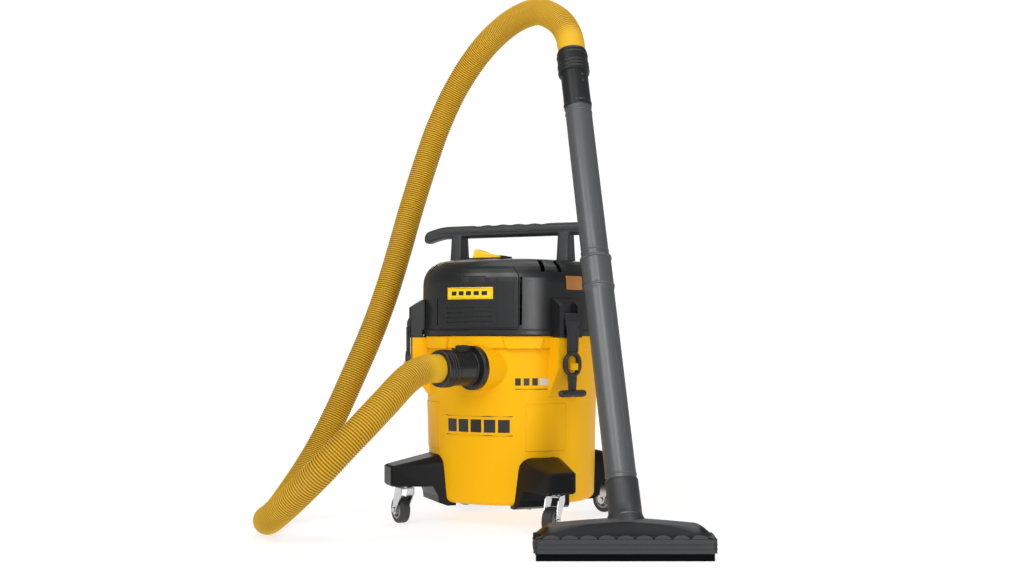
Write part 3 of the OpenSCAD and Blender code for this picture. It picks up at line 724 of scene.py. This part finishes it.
def wheel_hub():
    """A spoked hub: barrel, rim, web and six ribs."""
    bore_r, barrel_r, barrel_half = 0.0031, 0.0084, 0.0104
    rim_in, rim_out, rim_half, lip_half = 0.0150, 0.0181, 0.0098, 0.0085
    spoke_in, web_half, rib_half, rib_high = 0.0080, 0.0016, 0.0012, 0.0078
    ease = 0.0006
    barrel = turned([
        (bore_r, -barrel_half), (barrel_r - ease, -barrel_half), (barrel_r, ease - barrel_half),
        (barrel_r, barrel_half - ease), (barrel_r - ease, barrel_half), (bore_r, barrel_half),
    ], 32)
    rim = turned([
        (rim_in, -rim_half), (rim_out, -rim_half), (rim_out, rim_half),
        (rim_in, rim_half), (rim_in - ease, lip_half), (rim_in - ease, -lip_half),
    ], 48)
    web = turned([(spoke_in, -web_half), (rim_in, -web_half), (rim_in, web_half), (spoke_in, web_half)], 48)
    rib = block(spoke_in, rim_in, -rib_half, rib_half, -rib_high, rib_high)
    return merged([barrel, rim, web, *(moved(rib, turn_z(60 * i)) for i in range(6))])


def make_wheels():
    """The hubs, and two fine tread lines round each tyre."""
    line_at, deep, half_base, half_crest = 0.003, 0.0005, 0.0006, 0.0003
    tread = merged([
        turned([
            (WHEEL_R - deep, z - half_base), (WHEEL_R, z - half_crest),
            (WHEEL_R, z + half_crest), (WHEEL_R - deep, z + half_base),
        ], 64)
        for z in (-line_at, line_at)
    ])
    for name in CASTERS:
        matrix, wheel = caster_matrix(name), "wheel_" + name
        hub = piece("spoked_hub_" + name, *moved(wheel_hub(), matrix), wheel, "hub_plastic", smooth=False)
        soften(hub, 0.0004)
        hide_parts("hub_" + name)
        piece("tread_lines_" + name, *moved(tread, matrix), wheel, "wheel_rubber")


make_wheels()

# ---- Latches ----


def make_latches():
    """The beaded ring, ribs and grips of each rubber strap, and the foot of its bracket."""
    face, bead_r, edge_r, stem_r = 0.2145, 0.0034, 0.0016, 0.0024
    edge_y, edge_taper, edge_z, edge_long = 0.0122, 0.0015, 0.392, 0.048
    stem_z, stem_long = 0.297, 0.026
    pull_x, pull_z, pull_r, grip_pitch, grip_r = 0.213, 0.264, 0.0066, 0.0072, 0.0009
    quarters = (0, 0.25, 0.5, 0.75, 1)
    ring = [Vector((face, x, RING_Z + y)) for x, y in stadium(0.0315, 0.0425, 14)]
    parts = [swept(ring, bead_r, 10, closed=True)]
    for s in (-1, 1):
        line = [Vector((face, s * (edge_y - edge_taper * t), edge_z - edge_long * t)) for t in quarters]
        parts.append(swept(line, edge_r, 8))
    parts.append(swept([Vector((face, 0, stem_z - stem_long * t)) for t in quarters], stem_r, 8))
    turns = [2 * math.pi * i / 20 for i in range(20)]
    for k in (-3, -2, -1, 1, 2, 3):
        y = grip_pitch * k
        grip = [Vector((pull_x + pull_r * math.cos(a), y, pull_z + pull_r * math.sin(a))) for a in turns]
        parts.append(swept(grip, grip_r, 6, closed=True))
    beads = merged(parts)
    skirt = block(0.1840, 0.2088, -0.0269, 0.0269, 0.3712, 0.3779)
    for side, name in ((-1, "left"), (1, "right")):
        matrix = toward(side * LATCH_ANGLE)
        piece("strap_beads_" + name, *moved(beads, matrix), "strap_" + name, "strap_rubber")
        foot = moved(skirt, matrix)
        soften(piece("bracket_skirt_" + name, *foot, "vacuum", "black_plastic", smooth=False), 0.0008)


make_latches()

# ---- Wands and cuffs ----


def hoop(radius, z, half, rise):
    """A low rounded band round Z, sunk a little into the tube under it."""
    sunk = 0.0004
    return turned([
        (radius - sunk, z - half - rise), (radius + rise, z - half),
        (radius + rise, z + half), (radius - sunk, z + half + rise),
    ], 64)


def make_wand_details():
    """The raised bands and seams of the wands, and the bands and pips of their cuff."""
    frame_w = wand_frame()
    lower_r, upper_r, socket_r, cuff_r, cuff_end_r = 0.027, 0.0255, 0.028, 0.0300, 0.0265
    lower = merged([
        hoop(socket_r, 0.406, 0.0015, 0.0012), hoop(socket_r, 0.462, 0.002, 0.0014),
        hoop(lower_r, 0.052, 0.0012, 0.0008),
    ])
    piece("wand_bands", *moved(lower, frame_w), "vacuum", "wand_plastic")
    upper = merged([hoop(upper_r, z, 0.0012, 0.0008) for z in (0.476, 0.770)])
    piece("upper_wand_bands", *moved(upper, frame_w), "vacuum", "wand_plastic")
    collar = merged([
        *(hoop(cuff_r, z, 0.0012, 0.0009) for z in (0.864, 0.871, 0.878, 0.897)),
        hoop(cuff_end_r, 0.790, 0.0015, 0.0010),
    ])
    piece("wand_cuff_bands", *moved(collar, frame_w), "vacuum", "black_plastic")
    seam_turn, seam_r = math.radians(200), 0.0005
    seams = []
    for radius, low, high in ((lower_r, 0.05, 0.392), (upper_r, 0.48, 0.765)):
        x, y = radius * math.cos(seam_turn), radius * math.sin(seam_turn)
        line = [Vector((x, y, low + (high - low) * i / 8)) for i in range(9)]
        seams.append(swept(line, seam_r, 6))
    piece("wand_seams", *moved(merged(seams), frame_w), "vacuum", "wand_plastic")
    outline = [(0.0001, 0.0016), (0.0016, 0.0013), (0.0026, 0.0003), (0.0026, -0.001), (0.0001, -0.001)]
    pip = moved(turned(outline, 20), Matrix.Rotation(math.radians(90), 4, "Y"))
    spots = [turn_z(198) @ Matrix.Translation((cuff_end_r, 0, z)) for z in (0.832, 0.846)]
    pips = merged([moved(pip, spot) for spot in spots])
    piece("cuff_pips", *moved(pips, frame_w), "vacuum", "handle_plastic")


make_wand_details()


def make_inlet_details():
    """The bands of the hose's inlet cuff, the bead on the tank's flange, and the button's grip ribs."""
    frame_p = port_frame()
    grip_r, plug_r = 0.0350, 0.0330
    bands = merged([
        *(hoop(grip_r, z, 0.0011, 0.0008) for z in (0.070, 0.076, 0.082)),
        hoop(plug_r, 0.018, 0.0015, 0.0012),
    ])
    piece("inlet_cuff_bands", *moved(bands, frame_p), "vacuum", "black_plastic")
    rim = turned([
        (0.0405, 0.0095), (0.0421, 0.0102), (0.0425, 0.0115),
        (0.0413, 0.0126), (0.0396, 0.0125), (0.0392, 0.0112),
    ], 64)
    piece("inlet_flange_rim", *moved(rim, frame_p), "vacuum", "black_plastic")
    half_wide, low_y, high_y, first, pitch, thick = 0.008, 0.0432, 0.0440, 0.0265, 0.003, 0.0015
    starts = [first + pitch * i for i in range(4)]
    ribs = merged([block(-half_wide, half_wide, low_y, high_y, z, z + thick) for z in starts])
    soften(piece("button_ribs", *moved(ribs, frame_p), "button", "black_plastic", smooth=False), 0.0002)


make_inlet_details()

# ---- Floor nozzle ----


def nozzle_crest(x):
    """Height of the nozzle's crest along it."""
    crest, fall, end_fall, least = 0.067, 0.0125, 0.020, 0.0405
    share = min(abs(x) / NOZZLE_HALF, 1.0)
    return max(least, crest - fall * share**1.4 - end_fall * past(share, 0.8) ** 1.6)


# Depth from the middle, and share of the crest's height.
NOZZLE_OUTLINE = [
    (-0.0405, 0.0), (-0.0402, 0.12), (-0.0375, 0.25), (-0.029, 0.45), (-0.016, 0.80), (-0.005, 0.965),
    (0.006, 1.0), (0.014, 0.97), (0.022, 0.85), (0.030, 0.5), (0.0375, 0.26), (0.0405, 0.12), (0.0408, 0.0),
]


def nozzle_section(x):
    """The nozzle body's cross-section as (y, z) pairs, from its front foot over to its back foot."""
    rise = nozzle_crest(x) - NOZZLE_FOOT
    taper = 1 - 0.12 * past(min(abs(x) / NOZZLE_HALF, 1.0), 0.8) ** 2
    return [(y * taper, NOZZLE_FOOT + share * rise) for y, share in NOZZLE_OUTLINE]


def nozzle_neck():
    """The neck: a round sleeve on the wand's line that spreads and sinks into the body's crest."""
    frame_n, wand = nozzle_frame(), wand_frame()
    steps, rows_down = 48, 14
    turns = [2 * math.pi * i / steps for i in range(steps)]
    top_z, crest_y, sink, saddle, spread_x, spread_y = -0.012, 0.006, 0.010, 0.008, 0.6, 0.12
    into_nozzle = frame_n.inverted()
    centre = into_nozzle @ (wand @ Vector((0, 0, top_z)))
    rows = []
    for j in range(rows_down + 1):
        share = j / rows_down
        wide = 1 + spread_x * (1 - share) ** 2.4
        deep = 1 + spread_y * (1 - share) ** 2
        ring = []
        for a in turns:
            high = into_nozzle @ (wand @ Vector((NECK_R * math.cos(a), NECK_R * math.sin(a), top_z)))
            x = centre.x + (high.x - centre.x) * wide
            y = centre.y + (high.y - centre.y) * deep
            low_z = nozzle_crest(x) - sink - saddle * (abs(y - crest_y) / 0.03) ** 2
            ring.append(frame_n @ Vector((x, y, low_z + (high.z - low_z) * share)))
        rows.append(ring)
    for z, r in ((0.000, NECK_R), (0.030, 0.0288), (0.040, 0.0288), (0.0435, 0.0282), (0.0440, 0.0273)):
        rows.append([wand @ Vector((r * math.cos(a), r * math.sin(a), z)) for a in turns])
    return loft(rows, caps=False)


def nozzle_scallops(side):
    """A row of low rounded lobes along the body's foot, on its front (-1) or back (1)."""
    pitch, half_wide, high, foot_z = 0.031, 0.0140, 0.0058, 0.0378
    outer_y, inner_y = 0.0420, 0.0360
    lobes = []
    for k in range(-4, 5):
        middle = k * pitch
        outline = [(middle - half_wide, NOZZLE_FOOT), (middle + half_wide, NOZZLE_FOOT)]
        for i in range(13):
            a = math.pi * i / 12
            outline.append((middle + half_wide * math.cos(a), foot_z + high * math.sin(a)))
        lobes.append(loft([[Vector((x, side * y, z)) for x, z in outline] for y in (outer_y, inner_y)]))
    return merged(lobes)


def make_nozzle():
    """The nozzle's moulded body and neck, its scalloped skirt, its band lines and its end clip."""
    frame_n = nozzle_frame()
    half, cuts = 0.1515, 96
    stations = [-half + 2 * half * i / cuts for i in range(cuts + 1)]
    body = moved(loft([[Vector((x, y, z)) for y, z in nozzle_section(x)] for x in stations]), frame_n)
    # Its material paints the crest's upward faces lighter, as painted top light.
    shell = piece("nozzle_moulding", *body, "vacuum", "wand_plastic", material=NOZZLE_BLACK)
    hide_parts("nozzle_body")
    piece("nozzle_neck", *nozzle_neck(), "vacuum", "wand_plastic", material=LOOKS["handle_plastic"])
    for side, name in ((-1, "front"), (1, "back")):
        lobes = moved(nozzle_scallops(side), frame_n)
        soften(piece("nozzle_scallops_" + name, *lobes, "vacuum", "handle_plastic", smooth=False), 0.0006)
    proud, line_r = 0.0002, 0.0008
    outline = superellipse(NOZZLE_HALF + proud, NOZZLE_DEEP + proud, 24.0, 96)
    lines = []
    for z in (0.0205, 0.0285):
        lines.append(swept([Vector((x, y, z)) for x, y in outline], line_r, 6, closed=True))
    piece("nozzle_band_lines", *moved(merged(lines), frame_n), "vacuum", "handle_plastic")
    clip = moved(merged([
        block(-0.1535, -0.1475, -0.030, -0.014, 0.0365, 0.0440),
        block(-0.1535, -0.1420, -0.030, -0.014, 0.0430, 0.0450),
    ]), frame_n)
    soften(piece("nozzle_clip", *clip, "vacuum", "wand_plastic", smooth=False, material=DEEP_BLACK), 0.0006)


make_nozzle()

# ---- Filter ----


def make_filter():
    """Pleats and end bands of the cartridge filter."""
    pleats, rows = 90, 12
    low, high, valley_r, fold = 0.2225, 0.3795, 0.0690, 0.0120
    core_in, core_out, band_r, band_high = 0.0642, 0.0670, 0.0818, 0.004
    profile = (1, 0.35, 0, 0.35)
    count = pleats * len(profile)
    circle = []
    for i in range(count):
        a, r = 2 * math.pi * i / count, valley_r + fold * profile[i % len(profile)]
        circle.append((r * math.cos(a), r * math.sin(a)))
    heights = [low + (high - low) * i / rows for i in range(rows + 1)]
    outside = loft([[Vector((x, y, z)) for x, y in circle] for z in heights], caps=False)
    inside = turned([(core_in, low), (core_out, low), (core_out, high), (core_in, high)], 96)
    ends = []
    for z in (0.2222, 0.3756):
        top = z + band_high
        ends.append(turned([(core_in, z), (band_r, z), (band_r, top), (core_in, top)], 96))
    whole = merged([outside, inside, *ends])
    pleated = piece("filter_pleats", *whole, "vacuum", "filter_paper", smooth=False)
    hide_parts("filter")


make_filter()

# ---- Stage ----


def make_stage():
    """A wide pale floor that glows a little, and an even white surround."""
    size, near, far, near_glow = 12.0, 0.6, 3.0, 0.76
    seen_strength, lit_strength = 1.05, 0.2
    white = (1.0, 1.0, 1.0, 1.0)
    mesh = bpy.data.meshes.new("floor")
    corners = [(-size, -size, 0), (size, -size, 0), (size, size, 0), (-size, size, 0)]
    mesh.from_pydata(corners, [], [(0, 1, 2, 3)])
    floor = bpy.data.objects.new("floor", mesh)
    bpy.context.scene.collection.objects.link(floor)
    material, tree, surface = shader("floor_pale")
    tint = blend_colours(tree, object_noise(tree, 2.0, 2.0), (0.32, 0.32, 0.32), (0.35, 0.35, 0.35))
    tree.links.new(tint, surface.inputs["Base Color"])
    surface.inputs["Roughness"].default_value = 0.95
    surface.inputs["Specular IOR Level"].default_value = 0.1
    surface.inputs["Emission Color"].default_value = white
    at = add(tree, "TexCoord").outputs["Object"]
    away = add(tree, "VectorMath", {0: at}, operation="LENGTH").outputs["Value"]
    tree.links.new(ramp(tree, away, near, far, near_glow, 1.0), surface.inputs["Emission Strength"])
    mesh.materials.append(material)
    world = bpy.data.worlds.new("surround")
    bpy.context.scene.world = world
    world.use_nodes = True
    back = world.node_tree.nodes["Background"]
    back.inputs["Color"].default_value = white
    seen = add(world.node_tree, "LightPath").outputs["Is Camera Ray"]
    strength = ramp(world.node_tree, seen, 0.0, 1.0, lit_strength, seen_strength)
    world.node_tree.links.new(strength, back.inputs["Strength"])


def lamp(name, at, target, wide, high, watts):
    """A rectangular area lamp that faces its target."""
    data = bpy.data.lights.new(name, "AREA")
    data.shape = "RECTANGLE"
    data.size = wide
    data.size_y = high
    data.energy = watts
    made = bpy.data.objects.new(name, data)
    bpy.context.scene.collection.objects.link(made)
    made.location = at
    made.rotation_euler = (Vector(target) - Vector(at)).to_track_quat("-Z", "Y").to_euler()


make_stage()
MIDDLE = (0.0, 0.0, 0.4)
lamp("key", (-0.9, -3.0, 2.4), MIDDLE, 1.8, 1.4, 42)
lamp("strip", (0.95, -2.6, 2.2), (0.27, -0.2, 0.45), 1.1, 1.5, 34)
lamp("fill", (2.5, -2.2, 0.9), MIDDLE, 0.45, 1.3, 26)
lamp("top", (0.2, 0.4, 3.2), MIDDLE, 2.2, 2.2, 28)
lamp("back", (-1.5, 2.8, 2.0), MIDDLE, 1.6, 1.6, 22)
bpy.context.scene.view_settings.view_transform = "Standard"
